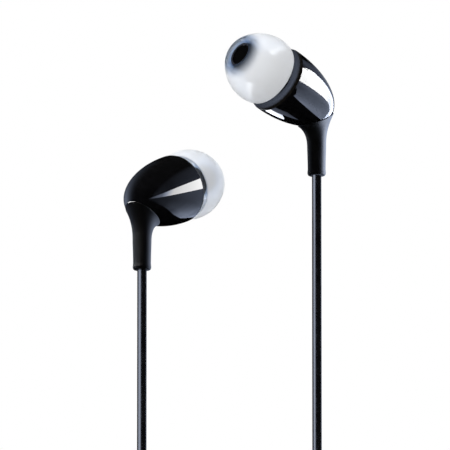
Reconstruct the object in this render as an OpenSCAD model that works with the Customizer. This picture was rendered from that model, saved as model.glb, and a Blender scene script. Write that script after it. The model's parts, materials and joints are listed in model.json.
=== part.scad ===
// Wired in-ear earphones with round-nozzle housings, silicone ear tips and a wound-up cord.
// The origin is the centre of the left nozzle's outlet, where the wearer's left ear holds the set.
// +Z is up, +X runs from the left earphone to the right one, and all sizes are in millimetres.

/* [Housing] */
// Radius of the housing at its widest
housing_r = 6.2; // [5.8:0.1:6.6]
// Length from the widest place to the rear end
housing_tail = 13.1; // [12:0.1:14]
// How far the widest place lies behind the front rim
housing_waist = 0.8; // [0.6:0.1:1.4]
// Wall of the rear shell
shell_wall = 0.9; // [0.7:0.05:1]
// Depth of the band that the front cover shows outside
band_depth = 0.5; // [0.4:0.05:0.6]
// How much the front cover narrows towards its rim
band_taper = 0.06; // [0:0.02:0.2]
// Rounding of the front cover's rim
band_round = 0.3; // [0.2:0.05:0.4]
// Width of the flat land on the front cover
land_w = 0.35; // [0.2:0.05:0.6]
// Depth of the step inside the land
step_depth = 0.15; // [0.1:0.05:0.3]
// Width of the step inside the land
step_w = 0.3; // [0.2:0.05:0.5]
// Depth of the dished front face where it meets the neck
dish_depth = 0.5; // [0.3:0.05:0.6]
// Thickness of the front cover's plate
cover_plate = 1.1; // [1:0.05:1.2]
// How far the front cover's lip reaches into the rear shell
lip_reach = 1.6; // [1.4:0.1:1.8]
// Wall of the front cover's lip, which holds the driver
lip_wall = 0.45; // [0.4:0.05:0.6]

/* [Nozzle] */
// Radius of the neck between the housing and the ear tip
neck_r = 3.15; // [2.9:0.05:3.3]
// Length of the neck from the front rim
neck_len = 4.9; // [4.5:0.1:5.3]
// Radius of the nozzle's tube
nozzle_r = 2.5; // [2.4:0.05:2.6]
// How far the nozzle's outlet lies inside the ear tip's opening
outlet_in = 0.65; // [0.6:0.05:0.9]
// Height of the bead that grips the ear tip
bead_h = 0.25; // [0.15:0.05:0.3]
// Length of the bead along the nozzle
bead_len = 1.4; // [1:0.1:1.8]
// Distance from the bead to the outlet
bead_back = 0.6; // [0.5:0.1:1]
// Radius of the sound bore
sound_r = 1.7; // [1.4:0.1:1.8]
// Depth of the seat for the mesh in the outlet
mesh_seat = 0.5; // [0.4:0.05:0.7]
// Thickness of the outlet mesh
mesh_t = 0.25; // [0.15:0.05:0.35]

/* [Ear tip] */
// Radius of the skirt at its open edge
skirt_r = 5.95; // [5.7:0.05:6.4]
// How far the curve that makes the ear tip's bulge stands outside its open edge
tip_bulge = 1.1; // [0.8:0.05:1.3]
// How far that curve draws the ear tip's shoulder in
tip_shoulder = 0.5; // [0.3:0.05:0.7]
// Gap between the skirt's edge and the housing's rim
skirt_gap = 1.4; // [1.2:0.1:1.8]
// Length of the ear tip from the skirt's edge to its front
tip_len = 8.45; // [8:0.05:9.4]
// Radius of the ear tip where the dome meets the front lip
lip_r = 3.2; // [3:0.05:3.5]
// Rounding of the front lip into the sound opening
lip_round = 0.5; // [0.4:0.05:0.5]
// Radius of the sound opening in the ear tip
tip_bore_r = 2.25; // [2:0.05:2.4]
// Wall of the skirt
skirt_wall = 0.45; // [0.35:0.05:0.6]
// Wall of the core that grips the nozzle
core_wall = 0.6; // [0.5:0.05:0.7]
// Depth of the solid front, where the dome joins the core
dome_depth = 1.5; // [1.2:0.1:1.7]

/* [Cord boot] */
// How far the cord's axis lies behind the front rim
stem_back = 10.1; // [9.8:0.1:10.4]
// How far the boot's foot lies below the front rim's centre
stem_drop = 16.4; // [15.5:0.1:18]
// Radius of the boot at its foot
stem_r = 1.6; // [1.5:0.02:1.7]
// Radius of the boot where the flare starts
stem_top_r = 1.7; // [1.6:0.02:1.8]
// Height of the straight stem below the flare
stem_len = 5; // [4.5:0.1:5.5]
// Half length of the flare's oval edge, from front to rear
flare_r = 3.75; // [3.5:0.05:3.9]
// Half width of the flare's oval edge
flare_side = 2.7; // [2.5:0.05:3]
// Lean of the flare's edge, following the housing's underside, in degrees
flare_lean = 29; // [26:0.5:32]
// How far the flare's edge is carried forward of the stem
flare_shift = 0.4; // [0.2:0.05:0.6]
// How far the middle of the flare's edge lies above the housing's underside
flare_rise = 1.05; // [0.9:0.05:1.3]
// How far the flare's edge stands off the housing
flare_proud = 0.2; // [0.15:0.05:0.3]
// Radius of the boot's neck inside the housing
boot_neck_r = 1.3; // [1.1:0.05:1.4]
// How far the boot's neck stands inside the housing
boot_neck_in = 1.4; // [1.2:0.1:1.6]

/* [Driver] */
// Thickness of the foam gasket in front of the driver
gasket_t = 0.45; // [0.3:0.05:0.6]
// Depth of the driver's frame
driver_depth = 2.4; // [2.2:0.1:2.8]
// Width of the ledge in the driver's frame that carries the diaphragm's edge
ledge_w = 0.75; // [0.6:0.05:0.9]
// Width of the driver's frame between that ledge and the yoke
frame_web = 0.6; // [0.5:0.05:0.7]
// Wall of the yoke
yoke_wall = 0.4; // [0.3:0.05:0.45]
// Width of the gap round the magnet, where the voice coil moves
magnet_gap = 0.6; // [0.55:0.05:0.7]
// Thickness of the magnet
magnet_t = 0.9; // [0.7:0.05:1]
// Thickness of the pole plate
plate_t = 0.4; // [0.3:0.05:0.5]
// Wall of the voice coil
coil_wall = 0.25; // [0.15:0.05:0.3]
// Thickness of the diaphragm
film_t = 0.1; // [0.08:0.01:0.12]
// Thickness of the terminal board
board_t = 0.4; // [0.3:0.05:0.6]
// How far the terminal board's edge lies inside the yoke's
board_inset = 0.6; // [0.4:0.1:0.8]

/* [Cord] */
// Diameter of the cord to each earphone
arm_d = 1.7; // [1.4:0.1:1.7]
// Diameter of the cord between splitter and plug
main_d = 2; // [1.8:0.1:2]
// Distance between the two hanging cords
cord_spacing = 31.3; // [31:0.1:33]
// How much higher the right earphone hangs than the left one
right_lift = 17.2; // [15:0.2:20]

/* [Plug] */
// Radius of the contacts, a standard size
contact_r = 1.75; // [1.7:0.05:1.8]
// Length of the contacts, a standard size
contact_len = 14; // [13.5:0.5:15]
// Length of the sleeve contact
sleeve_len = 6.6; // [6:0.1:7]
// Length of the ring contact
ring_len = 2.3; // [2:0.1:2.6]
// Width of each insulating band
band_w = 0.7; // [0.5:0.05:0.9]
// Radius of the plug's grip
grip_r = 3; // [2.8:0.1:3.4]
// Length of the plug's grip
grip_len = 16; // [14:0.5:20]
// Length of the rounded shoulder at the grip's lead end
grip_shoulder = 2.5; // [2:0.1:3]
// Length of the grip's straight end at the contacts
grip_end = 2; // [1.5:0.1:2.5]
// Length of the plug's strain relief
relief_len = 9; // [8:0.5:11]
// Wall of the plug's strain relief at its thin end
relief_wall = 0.6; // [0.5:0.05:0.8]

/* [Pose] */
// Rise of the nozzles above level, in degrees
nozzle_rise = 20.5; // [19:0.5:22]
// Turn of the left earphone about the vertical, in degrees
left_turn = 52; // [45:1:60]
// Turn of the right earphone about the vertical, in degrees
right_turn = 223; // [218:1:230]

/* [Hidden] */
$fn = 64;

// Clearance between pieces that are pushed or glued together
fit = 0.05;
// Radial clearance of the ear tip on the nozzle's bead
tip_fit = 0.05;

// ---- Shared shapes ----

function unit(v) = v / norm(v);

// Points of a cubic curve between p0 and p3
function curve(p0, p1, p2, p3, steps) = [
    for (i = [0:steps])
        let (t = i / steps, u = 1 - t)
            u * u * u * p0 + 3 * u * u * t * p1 + 3 * u * t * t * p2 + t * t * t * p3
];

// Points of an arc about a centre, from one angle to another
function arc(centre, r, from, to, steps) = [
    for (i = [0:steps])
        let (a = from + (to - from) * i / steps)
            centre + r * [cos(a), sin(a)]
];

function reversed(list) = [for (i = [len(list) - 1:-1:0]) list[i]];

// Corner points of a rectangle with rounded corners, centred on the origin
function round_rect(w, h, r, steps = 6) = concat(
    arc([w / 2 - r, h / 2 - r], r, 0, 90, steps),
    arc([r - w / 2, h / 2 - r], r, 90, 180, steps),
    arc([r - w / 2, r - h / 2], r, 180, 270, steps),
    arc([w / 2 - r, r - h / 2], r, 270, 360, steps)
);

// A tube wall between two radii, from one height to another
module ring(r_out, r_in, low, high) {
    rotate_extrude()
        polygon([[r_in, low], [r_out, low], [r_out, high], [r_in, high]]);
}

// A closed skin over rings of points, each with as many points as the first
module skin(rings) {
    sides = len(rings[0]);
    last = (len(rings) - 1) * sides;
    polyhedron(
        points = [for (ring = rings) each ring],
        faces = concat(
            [[for (i = [0:sides - 1]) i]],
            [
                for (k = [0:len(rings) - 2], i = [0:sides - 1])
                    let (j = (i + 1) % sides)
                        [k * sides + i, (k + 1) * sides + i, (k + 1) * sides + j, k * sides + j]
            ],
            [[for (i = [sides - 1:-1:0]) last + i]]
        )
    );
}

// Rings square to a path, for a cord that stays near one upright plane
function tube_rings(path, r, sides) = [
    for (i = [0:len(path) - 1])
        let (
            along = unit(path[min(i + 1, len(path) - 1)] - path[max(i - 1, 0)]),
            across = unit(cross(along, [0, 1, 0])),
            up = cross(along, across)
        )
            [
                for (k = [0:sides - 1])
                    let (a = 360 * k / sides)
                        path[i] + r * (cos(a) * across + sin(a) * up)
            ]
];

module tube(path, r, sides = 8) {
    skin(tube_rings(path, r, sides));
}

// ---- Where each earphone stands ----

nozzle_reach = skirt_gap + tip_len - outlet_in;
function level(turn) = [cos(turn), sin(turn), 0];
left_rim = -nozzle_reach * (cos(nozzle_rise) * level(left_turn) + [0, 0, sin(nozzle_rise)]);
left_foot = left_rim - stem_back * level(left_turn) - [0, 0, stem_drop];
right_foot = left_foot + [cord_spacing, 0, right_lift];
right_rim = right_foot + stem_back * level(right_turn) + [0, 0, stem_drop];

module left() {
    translate(left_rim) rotate([0, 0, left_turn]) children();
}

module right() {
    translate(right_rim) rotate([0, 0, right_turn]) children();
}

// Lays a shape that was turned about Z along the nozzle, with the front rim's centre at 0
module along_nozzle() {
    rotate([0, 90 - nozzle_rise, 0]) children();
}

// ---- Housing ----

// Outline of the egg-shaped tail, from its widest place to its rear end
function egg(tail, r, steps) = [
    for (i = [0:steps])
        let (a = 90 * i / steps)
            [r * cos(a), -housing_waist - tail * sin(a)]
];

// Height of the egg's underside below the front rim's centre, at x in front of that centre.
// It solves the ellipse (s + waist)^2 / tail^2 + m^2 / r^2 = 1, with s along the nozzle.
function underside(x, tail, r) =
    let (
        c = cos(nozzle_rise),
        s = sin(nozzle_rise),
        k = x * c + housing_waist,
        qa = s * s / (tail * tail) + c * c / (r * r),
        qb = 2 * (s * k / (tail * tail) - c * x * s / (r * r)),
        qc = k * k / (tail * tail) + x * x * s * s / (r * r) - 1
    )
        (-qb - sqrt(qb * qb - 4 * qa * qc)) / (2 * qa);

boot_hole_z = underside(-stem_back, housing_tail, housing_r);
boot_neck_top = underside(-stem_back, housing_tail - shell_wall, housing_r - shell_wall)
    + boot_neck_in;

module rear_shell() {
    color("#0b0b0d")
        difference() {
            along_nozzle()
                rotate_extrude()
                    polygon(concat(
                        [[housing_r - shell_wall, -band_depth], [housing_r, -band_depth]],
                        egg(housing_tail, housing_r, 24),
                        reversed(egg(housing_tail - shell_wall, housing_r - shell_wall, 18))
                    ));
            translate([-stem_back, 0, boot_hole_z - housing_r])
                cylinder(r = boot_neck_r + fit, h = boot_neck_top + fit - boot_hole_z + housing_r);
        }
}

lip_out = housing_r - shell_wall - fit;
lip_in = lip_out - lip_wall;
land_r = housing_r - band_taper - band_round;
step_r = land_r - land_w;
dish_r = step_r - step_w;
bead_end = nozzle_reach - bead_back;
bead_start = bead_end - bead_len;

module front_cover() {
    color("#0e0e11")
        along_nozzle()
            rotate_extrude()
                polygon(concat(
                    [[lip_out, -band_depth], [housing_r, -band_depth]],
                    arc([land_r, -band_round], band_round, 0, 90, 6),
                    [[step_r, 0], [step_r, -step_depth], [dish_r, -step_depth]],
                    curve(
                        [dish_r, -step_depth], [dish_r - 0.5, -step_depth - 0.2],
                        [neck_r + 0.8, -dish_depth], [neck_r + 0.3, -dish_depth], 5
                    ),
                    [[neck_r, 0.3 - dish_depth], [neck_r, neck_len], [nozzle_r, neck_len]],
                    curve(
                        [nozzle_r, bead_start], [nozzle_r + bead_h, bead_start],
                        [nozzle_r + bead_h, bead_end - 0.4], [nozzle_r, bead_end], 8
                    ),
                    [
                        [nozzle_r, nozzle_reach - 0.15], [nozzle_r - 0.15, nozzle_reach],
                        [mesh_r + fit, nozzle_reach], [mesh_r + fit, nozzle_reach - mesh_seat],
                        [sound_r, nozzle_reach - mesh_seat], [sound_r, -cover_plate],
                        [lip_in, -cover_plate], [lip_in, -band_depth - lip_reach],
                        [lip_out, -band_depth - lip_reach]
                    ]
                ));
}

mesh_r = sound_r + 0.25;

module nozzle_mesh() {
    color("#3a3a3d")
        along_nozzle()
            translate([0, 0, nozzle_reach - mesh_seat])
                cylinder(r = mesh_r, h = mesh_t);
}

// ---- Ear tip ----

tip_front = skirt_gap + tip_len;
core_in = nozzle_r + bead_h + tip_fit;
core_out = core_in + core_wall;
core_back = neck_len + fit;
throat_z = nozzle_reach + fit;
dome_z = tip_front - dome_depth;

module ear_tip() {
    color("#dfe4ea")
        along_nozzle()
            rotate_extrude()
                polygon(concat(
                    curve(
                        [skirt_r, skirt_gap], [skirt_r + tip_bulge, skirt_gap + tip_len * 0.38],
                        [skirt_r - tip_shoulder, skirt_gap + tip_len * 0.78], [lip_r, tip_front - 0.1], 16
                    ),
                    arc([tip_bore_r + lip_round, tip_front - lip_round], lip_round, 90, 180, 4),
                    [
                        [tip_bore_r, throat_z], [core_in, throat_z], [core_in, core_back],
                        [core_out, core_back], [core_out, dome_z - 1]
                    ],
                    reversed(curve(
                        [skirt_r - skirt_wall, skirt_gap + 0.1],
                        [skirt_r - skirt_wall + tip_bulge, skirt_gap + tip_len * 0.36],
                        [skirt_r - skirt_wall - tip_shoulder, skirt_gap + tip_len * 0.72],
                        [core_out + 0.5, dome_z], 12
                    ))
                ));
}

// ---- Driver, listed from the front to the rear ----

driver_r = lip_in - fit;
gasket_z = -cover_plate - fit;
film_z = gasket_z - gasket_t - fit;
frame_z = film_z - film_t - fit;
yoke_back = frame_z - driver_depth;
yoke_front = yoke_back + yoke_wall + magnet_t + plate_t + 2 * fit;
ledge_r = driver_r - ledge_w;
yoke_r = ledge_r - frame_web;
magnet_r = yoke_r - yoke_wall - magnet_gap;
coil_in = magnet_r + 0.15;
coil_out = coil_in + coil_wall;
dome_h = 0.3;

module driver_gasket() {
    color("#26262a")
        along_nozzle()
            ring(driver_r, ledge_r, gasket_z - gasket_t, gasket_z);
}

// Height of the film's middle line: a dome inside the coil, then a half roll out to the edge
function film_line(r) =
    r < coil_out
        ? dome_h * (1 - pow(r / coil_out, 2))
        : r < ledge_r
            ? dome_h * 0.8 * sin(180 * (r - coil_out) / (ledge_r - coil_out))
            : 0;

film_radii = concat(
    [for (i = [0:5]) coil_out * i / 5],
    [for (i = [1:8]) coil_out + (ledge_r - coil_out) * i / 8],
    [driver_r]
);

module diaphragm() {
    color("#b9bdc2")
        along_nozzle()
            rotate_extrude()
                polygon(concat(
                    [for (r = film_radii) [r, film_z - film_t + film_line(r)]],
                    reversed([for (r = film_radii) [r, film_z + film_line(r)]])
                ));
}

module voice_coil() {
    color("#b4713a")
        along_nozzle()
            ring(coil_out - 0.02, coil_in, yoke_back + yoke_wall + 0.4, film_z - film_t - fit);
}

module pole_plate() {
    color("#9a9ca0")
        along_nozzle()
            translate([0, 0, yoke_front - plate_t])
                cylinder(r = magnet_r + fit, h = plate_t);
}

module driver_magnet() {
    color("#6f7276")
        along_nozzle()
            translate([0, 0, yoke_back + yoke_wall + fit])
                cylinder(r = magnet_r, h = magnet_t);
}

module driver_yoke() {
    color("#8b8d91")
        along_nozzle()
            rotate_extrude()
                polygon([
                    [0, yoke_back], [yoke_r, yoke_back], [yoke_r, yoke_front],
                    [yoke_r - yoke_wall, yoke_front], [yoke_r - yoke_wall, yoke_back + yoke_wall],
                    [0, yoke_back + yoke_wall]
                ]);
}

module driver_frame() {
    color("#1d1e22")
        along_nozzle()
            rotate_extrude()
                polygon([
                    [yoke_r + fit, yoke_back + 0.3], [yoke_r + 0.4, yoke_back + 0.3],
                    [yoke_r + 0.4, frame_z - 1], [driver_r, frame_z - 0.7], [driver_r, frame_z],
                    [ledge_r, frame_z], [ledge_r, frame_z - 0.4], [yoke_r + fit, frame_z - 0.6]
                ]);
}

module terminal_board() {
    color("#2f6b3c")
        along_nozzle()
            translate([0, 0, yoke_back - fit - board_t])
                cylinder(r = yoke_r - board_inset, h = board_t);
}

// ---- Cord entry ----

// Middle of the flare's edge, as distances in front of the stem and above the boot's foot
flare_centre = [flare_shift, boot_hole_z + flare_rise + stem_drop];
boot_sides = 32;
flare_steps = 8;

// A point of an oval ring of the boot: its middle, its lean, its half length and half width
function boot_point(middle, lean, r, side_r, a) = [
    middle[0] + r * cos(a) * cos(lean), side_r * sin(a), middle[1] - r * cos(a) * sin(lean)
];

// How far a point beside the housing moves to lie just off it, straight out from the egg's centre
function stand_off(p) =
    let (
        n = [cos(nozzle_rise), 0, sin(nozzle_rise)],
        q = p - [stem_back, 0, stem_drop] + housing_waist * n,
        s = q * n,
        deep = norm([s / (housing_tail + flare_proud), norm(q - s * n) / (housing_r + flare_proud)])
    )
        (1 / deep - 1) * q;

// A ring of the boot, whose points share in how far the flare's edge moves to follow the housing
function boot_ring(middle, lean, r, side_r, share = 0) = [
    for (i = [0:boot_sides - 1])
        let (
            a = 360 * i / boot_sides,
            edge = boot_point(flare_centre, flare_lean, flare_r, flare_side, a)
        )
            boot_point(middle, lean, r, side_r, a) + share * stand_off(edge)
];

function round_ring(z, r) = boot_ring([0, z], 0, r, r);

// A ring of the flare, from 0 at the stem to 1 at its edge on the housing
function flare_ring(t) =
    let (grown = pow(t, 2.5))
        boot_ring(
            [flare_shift * t * t, stem_len + (flare_centre[1] - stem_len) * t],
            flare_lean * t,
            stem_top_r + (flare_r - stem_top_r) * grown,
            stem_top_r + (flare_side - stem_top_r) * grown,
            t * t * t
        );

// A ring that closes the boot above the flare's edge, drawn in from that edge
function crown_ring(rise, inset, share) = boot_ring(
    flare_centre + rise * [sin(flare_lean), cos(flare_lean)],
    flare_lean, flare_r - inset, flare_side - inset, share
);

boot_rings = concat(
    [
        round_ring(0, stem_r - 0.2), round_ring(0.12, stem_r - 0.03), round_ring(0.4, stem_r + 0.06),
        round_ring(0.8, stem_r + 0.04), round_ring(1.2, stem_r)
    ],
    [for (i = [0:flare_steps]) flare_ring(i / flare_steps)],
    [crown_ring(0.12, 0.05, 1), crown_ring(0.2, 0.18, 1), crown_ring(1.5, 2, 0)]
);

module cord_boot() {
    color("#131316")
        translate([-stem_back, 0, -stem_drop]) {
            difference() {
                skin(boot_rings);
                translate([stem_back, 0, stem_drop])
                    along_nozzle()
                        rotate_extrude()
                            polygon(concat(
                                [[0, 0], [housing_r + fit, 0]],
                                egg(housing_tail + fit, housing_r + fit, 24)
                            ));
            }
            translate([0, 0, stem_len])
                cylinder(r = boot_neck_r, h = boot_neck_top + stem_drop - stem_len);
        }
}

crimp_r = 0.9;
crimp_h = 1.6;

module cord_crimp() {
    color("#a7a9ad")
        translate([-stem_back, 0, boot_neck_top + fit])
            rotate_extrude()
                polygon([
                    [0, 0], [crimp_r - 0.2, 0], [crimp_r, 0.2], [crimp_r, 0.6], [crimp_r - 0.15, 0.7],
                    [crimp_r - 0.15, 0.9], [crimp_r, 1], [crimp_r, crimp_h - 0.2],
                    [crimp_r - 0.2, crimp_h], [0, crimp_h]
                ]);
}

// Two thin wires from the crimp's top to the rear of the terminal board
wire_r = 0.15;
wire_side = 0.5;
crimp_top = [-stem_back, boot_neck_top + 2 * fit + crimp_h];
board_back = (yoke_back - 2 * fit - board_t) * [cos(nozzle_rise), sin(nozzle_rise)];

module lead_wires() {
    color("#a8262a")
        for (side = [-1, 1])
            tube([
                for (p = curve(
                    crimp_top, crimp_top + [0.2, 1], board_back - [1.5, 0.6], board_back, 8
                ))
                    [p[0], side * wire_side, p[1]]
            ], wire_r);
}

// ---- Cord: the right cord's route starts at the right boot's foot, all others at the left one's ----

// The left cord hangs straight, then bends over to lie along the top of the hank
left_route = [
    [0, 0, 0], [0, 0, -3], [0, 0, -6], [0, 0, -9], [0, 0, -12], [0, 0, -15], [0, 0, -18],
    [0, 0, -21], [0, 0, -24], [0, 0, -27], [0, 0, -30], [0, 0, -33], [0, -0.1, -35],
    [0.3, -0.2, -37], [1.1, -0.4, -38.8], [2.3, -0.8, -40.5], [4, -1.1, -41.7],
    [5.9, -1.5, -42.5], [8, -1.7, -42.8]
];
// The right cord hangs straight down to the right end of the hank
right_route = [
    [0, 0, 0], [0, 0, -4.4], [0, 0, -8.4], [0, 0, -12.4], [0, 0, -16.4], [0, 0, -20.4],
    [0, 0, -25.4], [0, 0, -30.4], [0, 0, -35.4], [0, 0, -40.4], [0, 0, -45.4], [0, 0, -50.4],
    [0, 0, -55.4], [0, 0, -60.4], [0, 0, -65.4], [0, 0, -69.4]
];
// Inside the hank's eye both of them come round its right end and into the splitter
left_end_route = [
    [25.8, -1.7, -53], [25.3, -1.7, -54.7], [24.2, -1.7, -56.2], [22.4, -1.8, -57.2],
    [20.1, -1.8, -57.5], [17.5, -1.8, -57.5], [14.1, -1.8, -57.5]
];
right_end_route = [
    [25.8, 0, -53], [25.3, 0, -54.7], [24.2, 0, -56.2], [22.4, 0.1, -57.2],
    [20.1, 0.1, -57.5], [17.5, 0.1, -57.5], [14.1, 0.1, -57.5]
];
// The cord from the splitter crosses the eye and turns up round its left end
main_start_route = [
    [2.2, -0.8, -57.5], [-1, -0.8, -57.5], [-4, -0.5, -57.5], [-7, 0, -57.5],
    [-9.9, 0.5, -57.5], [-12, 0.9, -57], [-13.8, 1.3, -55.7], [-14.7, 1.7, -53.8],
    [-14.6, 1.9, -51.8], [-13.6, 1.9, -49.6], [-11.9, 1.9, -48.2], [-9.9, 1.9, -47.6]
];
// It leaves the hank at the right end and hangs straight down to the plug
main_end_route = [
    [31.3, 6.1, -55.5], [31.3, 6.1, -59], [31.3, 6.1, -62.5], [31.3, 6.1, -66],
    [31.3, 6.1, -70], [31.3, 6.1, -74]
];

// The hank is a neat oval winding that stands in an upright plane below the earphones
hank_run = 30;
hank_in = 5.4;
hank_out = 12.3;
hank_z = -54;
hank_right = 20.1;
hank_front = -2.6;
hank_depth = 9.8;

module left_cord() {
    color("#101012")
        translate(left_foot) {
            tube(left_route, arm_d / 2);
            tube(left_end_route, arm_d / 2);
        }
}

module right_cord() {
    color("#101012") {
        translate(right_foot) tube(right_route, arm_d / 2);
        translate(left_foot) tube(right_end_route, arm_d / 2);
    }
}

module main_cord() {
    color("#101012")
        translate(left_foot) {
            tube(main_start_route, main_d / 2);
            tube(main_end_route, main_d / 2);
        }
}

// An oval with round ends, flat in an upright plane, with its right end's centre at 0
module oval(r) {
    circle(r = r);
    translate([-hank_run, 0]) circle(r = r);
    translate([-hank_run, -r]) square([hank_run, 2 * r]);
}

module cord_hank() {
    color("#17171a")
        translate(left_foot + [hank_right, hank_front + hank_depth, hank_z])
            rotate([90, 0, 0])
                linear_extrude(height = hank_depth)
                    difference() {
                        oval(hank_out);
                        oval(hank_in);
                    }
}

tie_x = 12.5;
tie_w = 5;
tie_t = 0.7;

module hank_tie() {
    high = hank_out - hank_in + 2 * fit;
    wide = hank_depth + 2 * fit;
    middle = [tie_x, hank_front + hank_depth / 2, hank_z + (hank_in + hank_out) / 2];
    color("#2b2b2e")
        translate(left_foot + middle)
            rotate([90, 0, 90])
                linear_extrude(height = tie_w)
                    difference() {
                        polygon(round_rect(wide + 2 * tie_t, high + 2 * tie_t, 0.9));
                        square([wide, high], center = true);
                    }
}

// ---- Splitter, which lies in the hank's eye with the two earphone cords at its right end ----

splitter_x = 14.1;
splitter_y = -0.85;
splitter_z = -57.5;
splitter_len = 8.4;
splitter_w = 4.2;
splitter_neck_w = 3;
splitter_t = 3.4;
splitter_relief_len = 3.5;

module splitter_place() {
    translate(left_foot + [splitter_x, splitter_y, splitter_z]) children();
}

module splitter_body() {
    color("#141417")
        splitter_place()
            intersection() {
                translate([0, 0, -splitter_t / 2])
                    linear_extrude(height = splitter_t)
                        polygon(concat(
                            arc([-0.8, splitter_w / 2 - 0.8], 0.8, 0, 90, 5),
                            [[-splitter_len * 0.55, splitter_w / 2]],
                            [[-splitter_len, splitter_neck_w / 2], [-splitter_len, -splitter_neck_w / 2]],
                            [[-splitter_len * 0.55, -splitter_w / 2]],
                            arc([-0.8, 0.8 - splitter_w / 2], 0.8, 270, 360, 5)
                        ));
                translate([-splitter_len, 0, 0])
                    rotate([90, 0, 90])
                        linear_extrude(height = splitter_len)
                            polygon(round_rect(splitter_w, splitter_t, 1.2));
            }
}

module splitter_relief() {
    color("#17171a")
        splitter_place()
            translate([-splitter_len, 0, 0])
                rotate([0, -90, 0])
                    rotate_extrude()
                        polygon(concat(
                            [[0, fit]],
                            [for (i = [0:2], q = relief_rib(i, splitter_relief_len, 3)) q],
                            [[0, splitter_relief_len]]
                        ));
}

// Outline of one rib and groove of a tapered strain relief that has the given number of ribs
function relief_rib(i, len, ribs) =
    let (
        pitch = (len - fit) / ribs,
        low = fit + i * pitch,
        r = splitter_neck_w / 2 - 0.25 * i / ribs
    )
        [[r, low], [r, low + pitch * 0.6], [r - 0.25, low + pitch * 0.65], [r - 0.25, low + pitch]];

// ---- Plug, which hangs from its lead with its tip down ----

module plug_place() {
    translate(left_foot + main_end_route[len(main_end_route) - 1]) rotate([180, 0, 0]) children();
}

relief_ribs = 5;
relief_thin = main_d / 2 + relief_wall;
relief_thick = grip_r - 0.7;

module plug_relief() {
    pitch = relief_len / relief_ribs;
    color("#17171a")
        plug_place()
            rotate_extrude()
                polygon(concat(
                    [[0, 0]],
                    [
                        for (i = [0:relief_ribs - 1])
                            let (r = relief_thin + (relief_thick - relief_thin) * i / relief_ribs)
                                each [
                                    [r - 0.25, i * pitch], [r - 0.25, (i + 0.35) * pitch],
                                    [r, (i + 0.4) * pitch], [r + 0.05, (i + 1) * pitch - 0.02]
                                ]
                    ],
                    [[0, relief_len]]
                ));
}

module plug_grip() {
    color("#111113")
        plug_place()
            translate([0, 0, relief_len + fit])
                rotate_extrude()
                    polygon(concat(
                        [[0, 0], [relief_thick, 0]],
                        curve(
                            [relief_thick, 0], [grip_r, 0], [grip_r, grip_shoulder * 0.4],
                            [grip_r, grip_shoulder], 6
                        ),
                        curve(
                            [grip_r, grip_shoulder], [grip_r - 0.5, grip_len * 0.4],
                            [grip_r - 0.5, grip_len * 0.6], [grip_r, grip_len - grip_end], 8
                        ),
                        [[grip_r, grip_len - 0.6], [grip_r - 0.5, grip_len], [0, grip_len]]
                    ));
}

contact_z = relief_len + 2 * fit + grip_len;
sleeve_end = sleeve_len;
ring_start = sleeve_end + band_w;
ring_end = ring_start + ring_len;
tip_start = ring_end + band_w;
core_r = 0.45;
tube_t = 0.3;

module contact_place() {
    plug_place() translate([0, 0, contact_z]) children();
}

module plug_sleeve() {
    color("#c9b27a")
        contact_place()
            rotate_extrude()
                polygon([
                    [core_r + 3 * tube_t + 3 * fit, 0], [contact_r + 0.6, 0], [contact_r + 0.6, 0.4],
                    [contact_r, 0.4], [contact_r, sleeve_end], [core_r + 3 * tube_t + 3 * fit, sleeve_end]
                ]);
}

// A liner tube with a band at its end, both turned about the plug's axis
module liner(r_in, r_out, start, end) {
    rotate_extrude()
        polygon([
            [r_in, 0], [r_out, 0], [r_out, start], [contact_r, start], [contact_r, end], [r_in, end]
        ]);
}

module plug_ring_insulator() {
    color("#1a1a1c")
        contact_place()
            liner(core_r + 2 * tube_t + 2 * fit, core_r + 3 * tube_t + 2 * fit,
                sleeve_end + fit, ring_start);
}

module plug_ring() {
    color("#c9b27a")
        contact_place()
            liner(core_r + tube_t + fit + fit, core_r + 2 * tube_t + fit,
                ring_start + fit, ring_end);
}

module plug_tip_insulator() {
    color("#1a1a1c")
        contact_place()
            liner(core_r + fit, core_r + tube_t + fit, ring_end + fit, tip_start);
}

module plug_tip() {
    groove = tip_start + 1.2;
    color("#c9b27a")
        contact_place()
            rotate_extrude()
                polygon([
                    [0, 0], [core_r, 0], [core_r, tip_start + fit], [contact_r - 0.05, tip_start + fit],
                    [contact_r - 0.5, groove], [contact_r - 0.05, groove + 0.8],
                    [0.6, contact_len - 0.15], [0.35, contact_len], [0, contact_len]
                ]);
}

left() rear_shell();  // left_rear_shell
left() front_cover();  // left_front_cover
left() nozzle_mesh();  // left_nozzle_mesh
left() ear_tip();  // left_ear_tip
left() cord_boot();  // left_cord_boot
left() cord_crimp();  // left_cord_crimp
left() lead_wires();  // left_lead_wires
left() terminal_board();  // left_terminal_board
left() driver_frame();  // left_driver_frame
left() driver_yoke();  // left_driver_yoke
left() driver_magnet();  // left_driver_magnet
left() pole_plate();  // left_pole_plate
left() voice_coil();  // left_voice_coil
left() diaphragm();  // left_diaphragm
left() driver_gasket();  // left_driver_gasket
right() rear_shell();  // right_rear_shell
right() front_cover();  // right_front_cover
right() nozzle_mesh();  // right_nozzle_mesh
right() ear_tip();  // right_ear_tip
right() cord_boot();  // right_cord_boot
right() cord_crimp();  // right_cord_crimp
right() lead_wires();  // right_lead_wires
right() terminal_board();  // right_terminal_board
right() driver_frame();  // right_driver_frame
right() driver_yoke();  // right_driver_yoke
right() driver_magnet();  // right_driver_magnet
right() pole_plate();  // right_pole_plate
right() voice_coil();  // right_voice_coil
right() diaphragm();  // right_diaphragm
right() driver_gasket();  // right_driver_gasket
left_cord();
right_cord();
main_cord();
splitter_body();
splitter_relief();
cord_hank();
hank_tie();
plug_relief();
plug_grip();
plug_sleeve();
plug_ring_insulator();
plug_ring();
plug_tip_insulator();
plug_tip();
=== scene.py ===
import json
import math

import bmesh
import bpy
from mathutils import Matrix, Vector


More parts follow.
